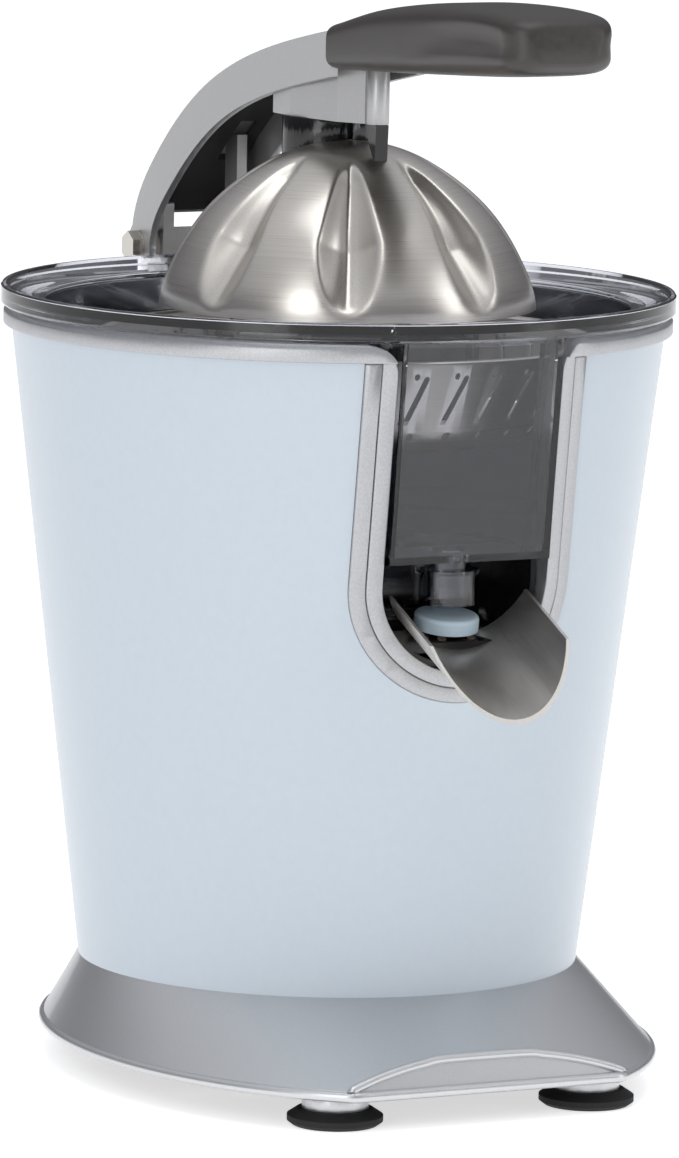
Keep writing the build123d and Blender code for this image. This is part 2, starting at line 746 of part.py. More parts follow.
def reamer_cone():
    """Ribbed squeezing cone with a finned skirt and a hexagon socket."""
    body = turned(
        [
            (0, CONE_SKIRT - 1.5),
            (CONE_R, CONE_SKIRT - 1.5),
            (CONE_R, CONE_SKIRT),
            (36, CONE_SKIRT + 3),
            (31.5, 250),
            (24, 264),
            (14, 276),
            (4, 281.5),
            (0, 282),
        ]
    )
    body -= turned(
        [(0, 200), (34.5, 200), (34.5, CONE_SKIRT + 1), (29.5, 249), (22, 262.5), (12, 274), (0, 276)]
    )
    body += tube(CONE_R, CONE_R - 2, CONE_Z, CONE_SKIRT)
    body += tube(14.0, 12.0, 218.5, 266) + tube(6.8, 0, 218.5, 275)
    body += tube(13.0, 0, 250, 253)
    for i in range(CONE_RIBS):
        profile = make_face(
            Polyline(
                [(31, CONE_SKIRT), (39.5, CONE_SKIRT), (37.6, 244), (33.8, 252), (26.6, 265), (16.5, 277),
                 (3, CONE_TOP), (0, CONE_TOP), (0, 279), (10, 272), (20, 262)],
                close=True,
            )
        )
        rib = extrude(Plane.XZ * profile, 1.3, both=True)
        body += Rot(0, 0, 360.0 * i / CONE_RIBS) * rib
    for i in range(16):
        fin = Pos(CONE_R + 0.6, 0, (CONE_Z + CONE_SKIRT) / 2) * Box(2.4, 1.6, CONE_SKIRT - CONE_Z)
        body += Rot(0, 0, 22.5 * i) * fin
    socket = hexagon(HEX_AF + 0.16, 200, SHAFT_TOP + 0.5)
    return body - socket


def spout_frame():
    """Local frame of the trough: origin on its chord at the pivot's y, -Y along the trough."""
    y, z = -94.0, 160.5
    run = SPOUT_PIVOT[0] - y
    return Pos(0, SPOUT_PIVOT[0], z + run * tan(radians(SPOUT_TILT))) * Rot(SPOUT_TILT, 0, 0)


SPOUT_DEPTH = 17.0
SPOUT_CENTRE = SPOUT_R - SPOUT_DEPTH      # height of the arc's centre above the chord


def trough_bar(r, y0, y1, top):
    """A round bar along the trough, cut flat at top, in the trough's own frame."""
    bar = rod_y(r, y0, y1, 0, SPOUT_CENTRE)
    return bar & block(-60, 60, y0, y1, -60, top)


def spout():
    trough = trough_bar(SPOUT_R, -84, TROUGH_START, 0) - trough_bar(SPOUT_R - SPOUT_T, -90, 0, 5)
    cut = make_face(Polyline([(-60, 2), (-60, 0), (-60 - 21, -SPOUT_DEPTH), (-60 - 26, -SPOUT_DEPTH - 4),
                              (-120, -SPOUT_DEPTH - 4), (-120, 2)], close=True))
    trough -= side_slab(cut, 60)
    for at in SPOUT_SCREWS:
        trough -= tube(1.6, 0, -40, 0, at)
    return spout_frame() * trough


TROUGH_START = -29.0
SPOUT_ROD_R = 2.0
SPOUT_SCREWS = [(-5.0, -33.5), (5.0, -33.5)]
PLATFORM = 0.4            # height of the cradle's flat top above the rod, in the tilted frame


def spout_carrier():
    """Black cradle that holds the trough and the stopper, hung on the rod."""
    y, z = SPOUT_PIVOT
    bar = trough_bar(SPOUT_R - SPOUT_T - 0.03, -36.7, TROUGH_START, 0)
    bar += trough_bar(SPOUT_R - 0.3, TROUGH_START - 0.05, -2.0, 0)
    slab = block(-19, 19, -40, 0, -7.0, PLATFORM)
    low = TILTED * (block(-30, 30, -40, 10, -30, PLATFORM))
    body = (spout_frame() * bar) & low
    body += (TILTED * slab) & block(-30, 30, -76, 0, 100, 200)
    body += rod_x(4.2, -19, 19, y, z)
    body += TILTED * tube(6.0, 0, PLATFORM - 1, PAD_UP - PAD_T, (0, NOZZLE_Y - y))
    body &= u_prism(CHAMBER_HALF - CHAMBER_T - 0.8, 200, -130, CHAMBER_BACK - CHAMBER_T - 0.6)
    for at in SPOUT_SCREWS:
        body -= spout_frame() * tube(1.47, 0, -40, -12.0, at)
    return body - rod_x(SPOUT_ROD_R + RUN, -40, 40, y, z)


PAD_TILT = 9.0            # tilt of the open stopper; it is level when it closes
PAD_UP = 6.4              # height of the closed pad's face above the rod
PAD_T = 4.6
TILTED = Pos(0, *SPOUT_PIVOT) * Rot(PAD_TILT, 0, 0)


def stopper_pad():
    pad = tube(10.2, 0, PAD_UP - PAD_T, PAD_UP, (0, NOZZLE_Y - SPOUT_PIVOT[0]))
    return TILTED * fillet(pad.edges().group_by(Axis.Z)[-1], 1.2)


def spout_rod():
    return rod_x(SPOUT_ROD_R, -CHAMBER_HALF, CHAMBER_HALF, *SPOUT_PIVOT)


def spout_screws():
    screws = []
    for at in SPOUT_SCREWS:
        screws.append(spout_frame() * screw(1.45, 2.6, 1.2, 3.4, at, -SPOUT_DEPTH - 0.02))
    return screws


# ---- lever arm ----------------------------------------------------------------------------------
ARM_BACK = [(122.1, 251.9), (120.0, 262.0), (105.2, 281.5), (67.9, 308.1), (23.8, 323.7), (-25.0, 333.5)]
GRIP_START = -25.0


def arm_curve(inset):
    """The arm's back line in (y, z), moved inwards by inset."""
    pts = []
    for i, (y, z) in enumerate(ARM_BACK):
        a = ARM_BACK[max(i - 1, 0)]
        b = ARM_BACK[min(i + 1, len(ARM_BACK) - 1)]
        dy, dz = b[0] - a[0], b[1] - a[1]
        size = hypot(dy, dz)
        pts.append((y + inset * -dz / size, z + inset * dy / size))
    return pts


def arm_strip(inset_0, inset_1, half):
    """A band of the arm's side view, between two distances in from the back line."""
    outer = arm_curve(inset_0)
    inner = arm_curve(inset_1)
    face = make_face(
        [Spline(outer), Line(outer[-1], inner[-1]), Spline(inner), Line(inner[0], outer[0])]
    )
    return side_slab(face, half)


def lever_arm():
    y, z = PIVOT
    bar = arm_strip(0, ARM_DEPTH, ARM_HALF) - arm_strip(ARM_T, ARM_DEPTH + 30, ARM_HALF - ARM_T)
    eye = rod_x(EYE_R, -ARM_HALF, ARM_HALF, y, z) - rod_x(30, -ARM_HALF + ARM_T, ARM_HALF - ARM_T, y, z)
    bar += eye
    bar -= block(-60, 60, -60, GRIP_START + GAP, 290, 360)
    bar -= block(-ARM_HALF + ARM_T, ARM_HALF - ARM_T, 90, 140, 230, 262)
    bar -= block(-60, 60, 90, 140, 200, z - EYE_R)
    bar -= block(-60, 60, y + EYE_R, 150, 200, 300)
    bar += block(-9, 9, GRIP_START - 92, GRIP_START + 6, 326.5, 331.0)
    bar += dome_carrier_block()
    lug = block(5.5, 9.0, 88, 97, 270, 290) & arm_strip(0.5, 17, ARM_HALF)
    bar += lug
    bar -= rod_x(BOLT_R + RUN, -40, 40, y, z)
    for at in GRIP_SCREWS:
        bar -= tube(1.6, 0, 300, 340, at)
    for at in HUB_SCREWS:
        bar -= tube(1.5, 0, 290, 314, at)
    return bar


def dome_carrier_block():
    """Faceted seat of the press dome under the arm, with the round boss of the catch in front."""
    plan = make_face(
        Polyline(
            [(-13.9, 21.6), (-13.9, 9), (-9, -14.5), (-3.6, -23.5), (3.6, -23.5), (9, -14.5), (13.9, 9), (13.9, 21.6)],
            close=True,
        )
    )
    seat = Pos(0, 0, 303.5) * extrude(plan, 40)
    seat += tube(BOSS_R, 0, 303.5, 340, (0, BOSS_Y))
    below = side_slab(
        make_face(
            Polyline(
                [(60, 290), (-34, 290), (-34, 320.4), (GRIP_START + GAP, 320.4), (GRIP_START + GAP, 331), (30, 320),
                 (60, 309)],
                close=True,
            )
        ),
        20,
    )
    return seat & below


BOSS_Y = -25.5
BOSS_R = 3.6
GRIP_SCREWS = [(0.0, -38.0), (0.0, -54.0)]
HUB_SCREWS = [(-8.0, 10.0), (8.0, 10.0)]


def arm_liner():
    """Dark lining of the channel, which ends as a wedge under the grip."""
    lining = arm_strip(ARM_T + 0.1, ARM_T + 1.5, ARM_HALF - ARM_T - 0.2)
    lining -= block(-60, 60, 90, 140, 230, 263)
    lining -= block(-60, 60, -60, 29, 200, 340)
    return lining - block(4, 10, 80, 100, 260, 295)


def grip_outline():
    points = [
        (GRIP_START, 320.6),
        (-79, 323.6),
        (-140, 327.8),
        (GRIP_END + 1, 331.5),
        (GRIP_END, 338),
        (GRIP_END + 3, 345.5),
        (-135, 348.0),
        (-95, 347.0),
        (-55, 342.6),
        (GRIP_START, 336.0),
    ]
    return make_face([Polyline(points[:3]), Spline(points[2:6]), Spline(points[5:]), Line(points[-1], points[0])])


def grip():
    body = side_slab(grip_outline(), 18.5)
    plan = Pos(0, (GRIP_START + GRIP_END) / 2 - 0.5) * RectangleRounded(37, GRIP_START - GRIP_END + 1, 10)
    back = Pos(0, GRIP_START - 20) * Rectangle(37, 40)
    body &= Pos(0, 0, 300) * extrude(plan + back, 80)
    body -= block(-9 - GAP, 9 + GAP, GRIP_START - 92 - GAP, GRIP_START + 10, 326.5 - GAP, 331.0 + GAP)
    for at in GRIP_SCREWS:
        body -= tube(1.6, 0, 300, 339, at) + tube(3.2, 0, 300, 324.3, at)
    return body


def grip_screws():
    return [screw(1.55, 3.0, 2.2, 13.0, at, 324.2) for at in GRIP_SCREWS]


def hinge_bolt():
    y, z = PIVOT
    bolt = rod_x(BOLT_R, -ARM_HALF - 0.5, ARM_HALF + 7.5, y, z)
    head = Rot(0, 90, 0) * extrude(RegularPolygon(4.4, 6, major_radius=False), 3.6)
    return bolt + Pos(-ARM_HALF - 4.1, y, z) * head


def hinge_nut():
    y, z = PIVOT
    nut = Rot(0, 90, 0) * extrude(RegularPolygon(4.4, 6, major_radius=False), 4.4)
    return Pos(ARM_HALF + 1.0, y, z) * nut - rod_x(BOLT_R, 0, 60, y, z)


def hinge_washers():
    """Steel washers outside the flanges and plastic spacers beside the ears."""
    y, z = PIVOT
    inner = ARM_HALF - ARM_T
    pairs = [(-ARM_HALF - 0.5, -ARM_HALF - 0.05), (ARM_HALF + 0.05, ARM_HALF + 1.0)]
    steel = [rod_x(5.0, a, b, y, z, BOLT_R + RUN) for a, b in pairs]
    ears = [rod_x(5.5, a, b, y, z, BOLT_R + RUN) for a, b in ((-inner + 0.05, -11.25), (11.25, inner - 0.05))]
    return steel, ears


# ---- press dome ---------------------------------------------------------------------------------
# (radius, height) of the dome's profile, from the rim to the top
DOME = [(60.0, 244.6), (59.5, 249.5), (57.8, 255.0), (55.0, 261.0), (51.0, 267.5), (45.5, 274.5), (38.5, 281.3),
        (30.0, 287.3), (20.5, 292.2), (10.5, 295.7), (4.0, 296.8), (0, 296.8)]
FLUTES = 8
FLUTE_TURN = -(90 + 26.3)    # one flute looks to the front left
DOME_T = 1.2


def dome_volume(inset, foot):
    """The dome's form down to the level foot, shrunk by inset, with its teardrop flutes pressed in."""
    curve = [(max(r - inset, 0), z - inset * (1 - r / DOME[0][0])) for r, z in DOME]
    if foot < curve[0][1]:
        curve.insert(0, (curve[0][0], foot))
    body = turned(curve + [(0, foot)])
    low = (65.0, 256.0)
    high = (23.0, 293.5)
    run = hypot(high[0] - low[0], high[1] - low[1])
    lean = degrees(atan2(low[0] - high[0], high[1] - low[1]))
    cone = Cone(10.4 + inset, 1.6 + inset, run, align=(Align.CENTER, Align.CENTER, Align.MIN))
    groove = Pos(low[0], 0, low[1]) * Rot(0, -lean, 0) * (cone + Sphere(10.7 + inset))
    for i in range(FLUTES):
        body -= Rot(0, 0, FLUTE_TURN + 360.0 * i / FLUTES) * groove
    return Pos(0, PRESS_Y, 0) * body


def press_dome():
    dome = dome_volume(0, DOME[0][1]) - dome_volume(DOME_T, DOME[0][1] - 10)
    for at in HUB_SCREWS:
        dome -= tube(1.7, 0, 280, 310, at)
    return dome


HUB_TOP = 303.5
HUB_R_OUT = 15.0
HUB_Y = 9.0


def dome_hub():
    """Black socket between the dome and the arm's seat."""
    hub = tube(HUB_R_OUT, 0, 286, HUB_TOP, (0, HUB_Y))
    hub -= dome_volume(-0.02, 230)
    hub -= block(-1.0, 1.0, HUB_Y - 17, HUB_Y - 12, 290, HUB_TOP + 1)
    for at in HUB_SCREWS:
        hub -= tube(1.7, 0, 280, 310, at)
    return hub


def dome_plate():
    """Steel plate inside the dome that takes the screws' heads."""
    plate = tube(17.0, 0, 285.2, 286.8, (0, 2))
    for at in HUB_SCREWS:
        plate += tube(4.0, 0, 285.2, 296, at)
    plate &= dome_volume(DOME_T + 0.05, 230)
    for at in HUB_SCREWS:
        plate -= tube(1.7, 0, 280, 310, at)
    return plate


def dome_screws():
    return [screw(1.45, 3.0, 2.0, 27.0, at, 285.2) for at in HUB_SCREWS]


def dome_catch():
    """Springy black finger under the front boss that steadies the dome."""
    profile = make_face(
        Polyline([(BOSS_Y - 3.4, 303.4), (BOSS_Y + 4.5, 303.4), (BOSS_Y + 1.5, 297.0), (BOSS_Y - 2.6, 290.6)],
                 close=True)
    )
    return side_slab(profile, 2.2) - dome_volume(-0.1, 230)


# ---- write every piece --------------------------------------------------------------------------
os.makedirs("parts", exist_ok=True)
steel_washers, ear_spacers = hinge_washers()
save("base_skirt", base_skirt())
save("base_plate", base_plate())
save("foot_collars", foot_collars())
save("rubber_feet", rubber_feet())
save("skirt_screws", [screw(1.6, 3.2, 1.8, 12.0, at, SKIRT_Z) for at in SKIRT_SCREWS])
save("base_screws", [screw(1.6, 3.2, 1.8, 14.0, at, SKIRT_Z) for at in POSTS])
save("cord_gland", cord_gland())
save("body_shell", body_shell())
save("top_ring", top_ring())
save("u_trim", u_trim())
save("spout_chamber", spout_chamber())
save("deck", deck())
save("hinge_bracket", hinge_bracket())
save("bracket_screws", bracket_screws())
save("motor_stator", motor_stator(), PRESS_Y)
save("field_coils", field_coils(), PRESS_Y)
save("motor_rotor", motor_rotor(), PRESS_Y)
save("motor_pinion", motor_pinion(), PRESS_Y)
save("cooling_fan", cooling_fan(), PRESS_Y)
save("motor_bracket_top", motor_bracket(BRACKET_TOP - 2), PRESS_Y)
save("motor_bracket_low", motor_bracket(BRACKET_LOW), PRESS_Y)
save("motor_bushes", motor_bushes(), PRESS_Y)
save("motor_spacers", motor_spacers(), PRESS_Y)
save("motor_bolts", motor_bolts(), PRESS_Y)
save("gearbox_case", gearbox_case(), PRESS_Y)
save("gearbox_cover", gearbox_cover(), PRESS_Y)
save("gearbox_screws", gearbox_screws(), PRESS_Y)
save("output_bushes", output_bushes(), PRESS_Y)
save("output_gear", output_gear(), PRESS_Y)
save("compound_gear", compound_gear(), PRESS_Y)
save("lay_pin", lay_pin(), PRESS_Y)
save("drive_shaft", drive_shaft(), PRESS_Y)
save("shaft_clip", shaft_clip(), PRESS_Y)
save("return_spring", return_spring(), PRESS_Y)
save("snout_bush", snout_bush(), PRESS_Y)
save("shaft_seal", shaft_seal(), PRESS_Y)
save("start_switch", start_switch(), PRESS_Y)
save("switch_plunger", switch_plunger(), PRESS_Y)
save("switch_screws", switch_screws(), PRESS_Y)
save("juice_tank", tank())
save("strainer", strainer(), PRESS_Y)
save("reamer_cone", reamer_cone(), PRESS_Y)
save("spout", spout())
save("spout_carrier", spout_carrier())
save("stopper_pad", stopper_pad())
save("spout_rod", spout_rod())
save("spout_screws", spout_screws())
save("lever_arm", lever_arm())
save("arm_liner", arm_liner())
save("grip", grip())
save("grip_screws", grip_screws())
save("hinge_bolt", hinge_bolt())
save("hinge_nut", hinge_nut())
save("steel_washers", steel_washers)
save("ear_spacers", ear_spacers)
save("press_dome", press_dome())
save("dome_hub", dome_hub())
save("dome_plate", dome_plate())
save("dome_screws", dome_screws())
save("dome_catch", dome_catch())
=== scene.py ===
# %% [markdown]
# # Electric citrus press with a lever arm
# The press is rebuilt on its engineering model. The model brings every separate piece with its true size and
# place; the cells below add what drawing dimensions leave out: rolled edges, pressed flutes, a perforated
# basket, a sculpted handle, and the finish of every material. One step per cell.

# %% Setup
import json
import math

import bmesh
import bpy
import numpy as np
from mathutils import Euler, Matrix, Vector


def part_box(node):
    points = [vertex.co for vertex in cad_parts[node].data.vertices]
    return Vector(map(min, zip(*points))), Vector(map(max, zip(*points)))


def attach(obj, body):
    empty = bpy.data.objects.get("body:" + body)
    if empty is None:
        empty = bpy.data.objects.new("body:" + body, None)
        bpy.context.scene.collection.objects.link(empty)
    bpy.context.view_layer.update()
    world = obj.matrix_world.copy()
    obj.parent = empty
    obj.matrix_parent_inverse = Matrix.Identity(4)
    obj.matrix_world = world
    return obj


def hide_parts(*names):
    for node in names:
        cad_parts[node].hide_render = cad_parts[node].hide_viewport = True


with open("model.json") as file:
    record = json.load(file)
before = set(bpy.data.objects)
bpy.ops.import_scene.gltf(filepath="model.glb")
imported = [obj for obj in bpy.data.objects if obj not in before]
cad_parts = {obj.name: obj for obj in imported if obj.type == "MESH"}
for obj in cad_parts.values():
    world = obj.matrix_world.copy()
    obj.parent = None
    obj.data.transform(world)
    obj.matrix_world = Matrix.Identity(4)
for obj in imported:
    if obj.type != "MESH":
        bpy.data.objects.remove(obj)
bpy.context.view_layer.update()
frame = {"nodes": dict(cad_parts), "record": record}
nodes = frame["nodes"]
print("pieces in the model:", len(nodes))

# %% [markdown]
# ## Where things are
# The body is a cone about one upright axis. The drive shaft, cone, strainer and dome share a second axis a
# little nearer to the spout, because the fruit is pressed by a lever that comes from behind. All lengths
# below are in millimetres and are turned into metres when a mesh is made.

# %% Axes and shared levels
BODY_Y = 14.9                        # the body's axis, in the model's frame
PRESS_Y = 1000 * sum(c.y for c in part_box("drive_shaft")) / 2
RIM_Z = 1000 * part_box("juice_tank")[1].z
print("axes at y", BODY_Y, "and", round(PRESS_Y, 2), "- tank rim at z", round(RIM_Z, 1))


# %% [markdown]
# ## Mesh helpers
# Most housewares are spun, moulded or swept, so three helpers make nearly everything: one that joins rings
# of points into a closed skin, one that draws a smooth line through a few points, and one that sweeps a
# round bead along a line.

# %% Helpers for meshes
def smooth_path(points, count):
    """A smooth line through the points, sampled count times at even steps."""
    p = np.array(points, float)
    p = np.vstack([2 * p[0] - p[1], p, 2 * p[-1] - p[-2]])
    fine = []
    for i in range(1, len(p) - 2):
        for t in np.linspace(0, 1, 24, endpoint=False):
            a, b, c, d = p[i - 1 : i + 3]
            fine.append(0.5 * (2 * b + (c - a) * t + (2 * a - 5 * b + 4 * c - d) * t**2 + (3 * b - a - 3 * c + d) * t**3))
    fine = np.array(fine + [p[-2]])
    run = np.concatenate([[0], np.cumsum(np.linalg.norm(np.diff(fine, axis=0), axis=1))])
    at = np.linspace(0, run[-1], count)
    return np.stack([np.interp(at, run, fine[:, k]) for k in range(p.shape[1])], axis=1)


def skin(rings, wrap):
    """Vertices and faces of a skin over rings of points; the last ring meets the first if wrap, else both are capped."""
    rings = np.array(rings, float)
    m, n = rings.shape[:2]
    faces = []
    for i in range(m if wrap else m - 1):
        a, b = i * n, (i + 1) % m * n
        faces += [(a + j, a + (j + 1) % n, b + (j + 1) % n, b + j) for j in range(n)]
    if not wrap:
        faces += [tuple(range(n))[::-1], tuple(range((m - 1) * n, m * n))]
    return rings.reshape(-1, 3), faces


def mesh_of(name, parts):
    """One mesh in metres from several (vertices, faces) in millimetres, normals outward."""
    bm = bmesh.new()
    for vertices, faces in parts:
        made = [bm.verts.new([c / 1000 for c in v]) for v in vertices]
        for f in faces:
            bm.faces.new([made[k] for k in f])
    bmesh.ops.recalc_face_normals(bm, faces=bm.faces)
    mesh = bpy.data.meshes.new(name)
    bm.to_mesh(mesh)
    bm.free()
    return mesh


def lathe(profile, centre_y, steps=256):
    """A closed profile of (radius, z) turned about an upright axis."""
    angle = np.linspace(0, 2 * math.pi, steps, endpoint=False)
    rings = [[(r * math.cos(a), centre_y + r * math.sin(a), z) for a in angle] for r, z in profile]
    return skin(rings, wrap=True)


def bead(path, radius, closed, steps=14):
    """A round bead swept along a line of points."""
    path = np.array(path, float)
    if closed:
        along = np.roll(path, -1, 0) - np.roll(path, 1, 0)
    else:
        along = np.gradient(path, axis=0)
    along /= np.linalg.norm(along, axis=1)[:, None]
    side = np.cross(along, (0.0, 0.31, 0.95))
    side /= np.linalg.norm(side, axis=1)[:, None]
    up = np.cross(side, along)
    turn = np.linspace(0, 2 * math.pi, steps, endpoint=False)
    rings = [p + radius * (np.outer(np.cos(turn), s) + np.outer(np.sin(turn), u)) for p, s, u in zip(path, side, up)]
    return skin(rings, wrap=closed)


def piece(name, mesh, body, material, stands_for=(), angle=35):
    """Adds a piece that moves with a body of the model, and hides the plain nodes that it stands for."""
    obj = bpy.data.objects.new(name, mesh)
    bpy.context.scene.collection.objects.link(obj)
    mesh.materials.clear()
    mesh.materials.append(finishes[material])
    mesh.shade_smooth()
    mesh.set_sharp_from_angle(angle=math.radians(angle))
    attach(obj, body)
    if stands_for:
        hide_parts(*stands_for)
    print(name, "-", len(mesh.vertices), "vertices")
    return obj


# %% [markdown]
# ## Finishes
# Each finish is named after the real one and made from noise on the object's own coordinates, so it needs no
# images. One recipe covers them all: a colour that drifts a little, a roughness that drifts with it, and a
# fine bump. Brushed steel stretches the noise along the direction of the brush; round parts are brushed
# round their axis, so the noise reads their radius and height only.

# %% Helpers for materials
finishes = {}


def srgb(code):
    """Linear colour from a #RRGGBB code."""
    parts = [int(code[i : i + 2], 16) / 255 for i in (1, 3, 5)]
    return [c / 12.92 if c <= 0.04045 else ((c + 0.055) / 1.055) ** 2.4 for c in parts] + [1.0]


def add(tree, kind, x, y, **values):
    """Adds a node; values name its properties or its input sockets."""
    node = tree.nodes.new(kind)
    node.location = (x, y)
    for key, value in values.items():
        if key in node.inputs:
            node.inputs[key].default_value = value
        else:
            setattr(node, key, value)
    return node


def finish(name, colour, second, roughness, spread=0.05, grain=1.0, bump=0.02, stretch=(1, 1, 1), round_y=None, **sockets):
    """A material from two colours, a roughness and its spread, a grain size in mm and a bump height in mm.
    round_y makes the grain run round the upright axis at that y. Further sockets stay constant."""
    mat = bpy.data.materials.new("finish_" + name)
    mat.use_nodes = True
    finishes[name] = mat
    tree = mat.node_tree
    shader = tree.nodes["Principled BSDF"]
    shader.location = (500, 0)
    for key, value in sockets.items():
        shader.inputs[key.replace("_", " ")].default_value = value
    where = add(tree, "ShaderNodeTexCoord", -1300, 0)
    centre = (0, -(BODY_Y if round_y is None else round_y) / 1000, 0)
    place = add(tree, "ShaderNodeMapping", -1100, 0, Location=centre)
    tree.links.new(where.outputs["Object"], place.inputs["Vector"])
    vector = place.outputs["Vector"]
    if round_y is not None:
        split = add(tree, "ShaderNodeSeparateXYZ", -920, 60)
        flat = add(tree, "ShaderNodeCombineXYZ", -920, -120)
        radius = add(tree, "ShaderNodeVectorMath", -750, -120, operation="LENGTH")
        joined = add(tree, "ShaderNodeCombineXYZ", -580, 0)
        tree.links.new(vector, split.inputs[0])
        tree.links.new(split.outputs["X"], flat.inputs["X"])
        tree.links.new(split.outputs["Y"], flat.inputs["Y"])
        tree.links.new(flat.outputs[0], radius.inputs[0])
        tree.links.new(radius.outputs["Value"], joined.inputs["X"])
        tree.links.new(split.outputs["Z"], joined.inputs["Z"])
        vector = joined.outputs[0]
    scale = add(tree, "ShaderNodeMapping", -400, 0, Scale=stretch)
    noise = add(tree, "ShaderNodeTexNoise", -200, 0, Scale=1000 / grain, Detail=4.0, Roughness=0.6)
    tree.links.new(vector, scale.inputs["Vector"])
    tree.links.new(scale.outputs["Vector"], noise.inputs["Vector"])
    mix = add(tree, "ShaderNodeMix", 100, 200, data_type="RGBA")
    mix.inputs["A"].default_value = srgb(colour)
    mix.inputs["B"].default_value = srgb(second)
    tree.links.new(noise.outputs["Fac"], mix.inputs["Factor"])
    tree.links.new(mix.outputs["Result"], shader.inputs["Base Color"])
    rough = add(tree, "ShaderNodeMapRange", 100, 0)
    rough.inputs["To Min"].default_value = max(roughness - spread, 0.02)
    rough.inputs["To Max"].default_value = roughness + spread
    tree.links.new(noise.outputs["Fac"], rough.inputs["Value"])
    tree.links.new(rough.outputs["Result"], shader.inputs["Roughness"])
    if bump:
        relief = add(tree, "ShaderNodeBump", 100, -250, Strength=1.0, Distance=bump / 1000)
        tree.links.new(noise.outputs["Fac"], relief.inputs["Height"])
        tree.links.new(relief.outputs["Normal"], shader.inputs["Normal"])
    return mat


# %% [markdown]
# ## The finishes of this press
# The body is sprayed in a smooth satin pale blue. The ring and the trim round the opening are sprayed in a
# coarse silver that hides finger marks, the base in a finer one. The arm and its bracket are castings with a
# satin silver coat. Dome, strainer and spout are stainless steel. The tank is clear plastic with a slight
# smoke tint, and the handle a soft dark plastic with a printed wood grain.

# %% Make the finishes
metal = {"Metallic": 1.0}
# satin spray paint
finish("shell_blue", "#B9C3CC", "#BFC9D1", 0.34, 0.02, grain=3.0, bump=0.001, Coat_Weight=0.25, Coat_Roughness=0.12)
# fine metallic paint
finish("silver_paint", "#C0C1C3", "#D2D3D4", 0.36, 0.05, grain=0.5, bump=0.004, Metallic=0.85, Coat_Weight=0.3)
# coarse metallic paint
finish("silver_texture", "#97989A", "#C4C5C7", 0.40, 0.08, grain=0.6, bump=0.05, Metallic=0.8)
# coated casting
finish("cast_silver", "#ACACAC", "#BDBDBD", 0.38, 0.06, grain=0.7, bump=0.02, Metallic=0.7)
# glossy moulding
finish("black_plastic", "#0B0B0C", "#111113", 0.16, 0.04, grain=2.0, bump=0.001)
# moulded rubber
finish("rubber_black", "#141414", "#1B1B1B", 0.75, 0.08, grain=0.8, bump=0.01)
# nickel-plated steel
finish("zinc_steel", "#C2BDB6", "#D2CDC6", 0.22, 0.06, grain=1.2, bump=0.002, **metal)
# stacked sheet
finish("lamination", "#4A4B4E", "#5C5D60", 0.42, 0.08, grain=0.6, bump=0.01, stretch=(0.05, 0.05, 1), **metal)
# enamelled wire
finish("copper", "#A4532B", "#C46A3A", 0.30, 0.06, grain=0.5, bump=0.02, stretch=(0.1, 1, 1), **metal)
# sintered bronze
finish("bronze", "#8C6A3C", "#A37E4B", 0.45, 0.08, grain=0.4, bump=0.005, **metal)
# acetal
finish("gear_white", "#DCD9CF", "#E6E3DA", 0.48, 0.05, grain=1.5, bump=0.002)
# brushed along the trough
finish("brushed_steel", "#D9D5CE", "#EDEAE5", 0.34, 0.08, grain=0.35, bump=0.004, stretch=(1, 0.02, 0.02), Metallic=1.0)
# brushed round the axis
finish("spun_steel", "#B9B4AC", "#E8E4DE", 0.30, 0.08, grain=0.30, bump=0.004, round_y=PRESS_Y, Metallic=1.0)
# satin moulding
finish("cone_black", "#0D0D0E", "#161617", 0.30, 0.05, grain=1.0, bump=0.003)
# soft silicone
finish("silicone_blue", "#B9CBD6", "#C6D5DF", 0.55, 0.05, grain=1.5, bump=0.004, Subsurface_Weight=0.15)
# fine grained moulding
finish("liner_grey", "#2E2E2F", "#3A3A3B", 0.55, 0.06, grain=0.5, bump=0.01)
# soft plastic, wood grain
finish("grip_dark", "#2A2725", "#3E3A37", 0.42, 0.08, grain=2.4, bump=0.03, stretch=(1, 0.05, 1))
# clear smoked plastic
finish("smoked_clear", "#D2D4DB", "#D6D8DE", 0.03, 0.01, grain=6.0, bump=0, Transmission_Weight=1.0, IOR=1.49)
print("finishes:", len(finishes))

# %% [markdown]
# ## Every model piece gets its finish
# The model's record says which finish each piece has. Crisp machined or moulded edges catch light on a real
# object, so the pieces in view also get a tiny bevel after their split corners are welded.

# %% Finish and soften the model's pieces
for part in frame["record"]["subparts"]:
    node = nodes[part["node"]]
    node.data.materials.clear()
    node.data.materials.append(finishes[part["material_slot"]])


def soften(name, width):
    """Welds a model piece and rounds its edges, width in mm."""
    node = nodes[name]
    node.modifiers.new("weld", "WELD").merge_threshold = 0.00001
    bevel = node.modifiers.new("edges", "BEVEL")
    bevel.width = width / 1000
    bevel.segments = 2
    bevel.limit_method = "ANGLE"
    bevel.angle_limit = math.radians(38)
    bevel.harden_normals = True


for name, width in {"top_ring": 0.5, "u_trim": 0.5, "hinge_bracket": 0.7, "lever_arm": 0.5, "hinge_bolt": 0.3, "hinge_nut": 0.3,
                    "dome_hub": 0.5, "foot_collars": 0.3, "spout_carrier": 0.3}.items():
    soften(name, width)
print("nodes with a finish:", sum(bool(n.data.materials) for n in nodes.values()))

# %% [markdown]
# ## The rolled edge of the base
# The base skirt is drawn down and its lower edge is rolled outwards. The same bead frames the sloping face
# under the spout. The bead follows the skirt's plan, an ellipse cut off in front, and the arch where the
# sloping face meets the skirt.

